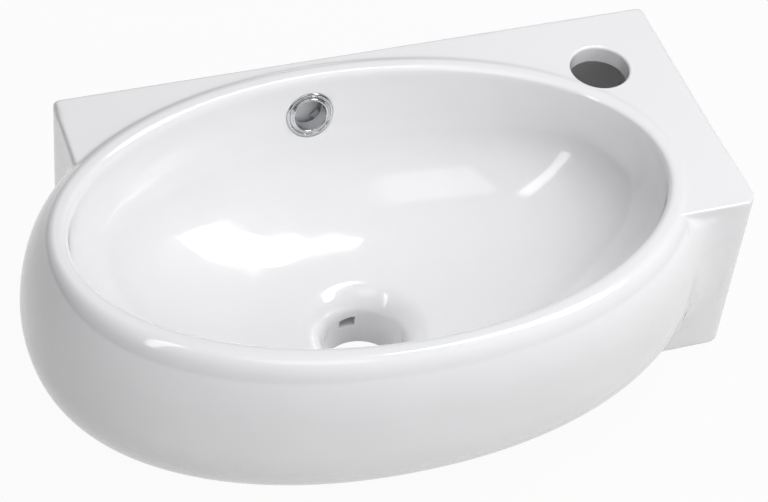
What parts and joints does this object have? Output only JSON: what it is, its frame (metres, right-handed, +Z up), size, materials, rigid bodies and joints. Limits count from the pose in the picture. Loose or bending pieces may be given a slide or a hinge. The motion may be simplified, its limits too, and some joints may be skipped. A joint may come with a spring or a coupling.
{
  "type": "washbasin",
  "caption": "Small wall hung corner-tap washbasin: an oval bowl with a fat rolled rim on a flat back slab, with a tap hole, a waste hole and a chrome overflow ring.",
  "frame": {"origin": "on the wall plane, midway between the two wall fixing holes", "axes": "+X along the wall to the right as seen from the front, +Y into the wall, +Z up; the front looks towards -Y, the deck is at Z = 60 mm and the foot at Z = -60 mm"},
  "size_m": [0.407, 0.248, 0.1235],
  "materials": {
    "white_glaze": "glossy white glaze",
    "chrome": "polished chrome",
    "grey_plastic": "moulded, plain"
  },
  "bodies": {
    "root": {"basin_body": "white_glaze", "overflow_ring": "chrome", "overflow_clip": "grey_plastic"}
  },
  "joints": []
}
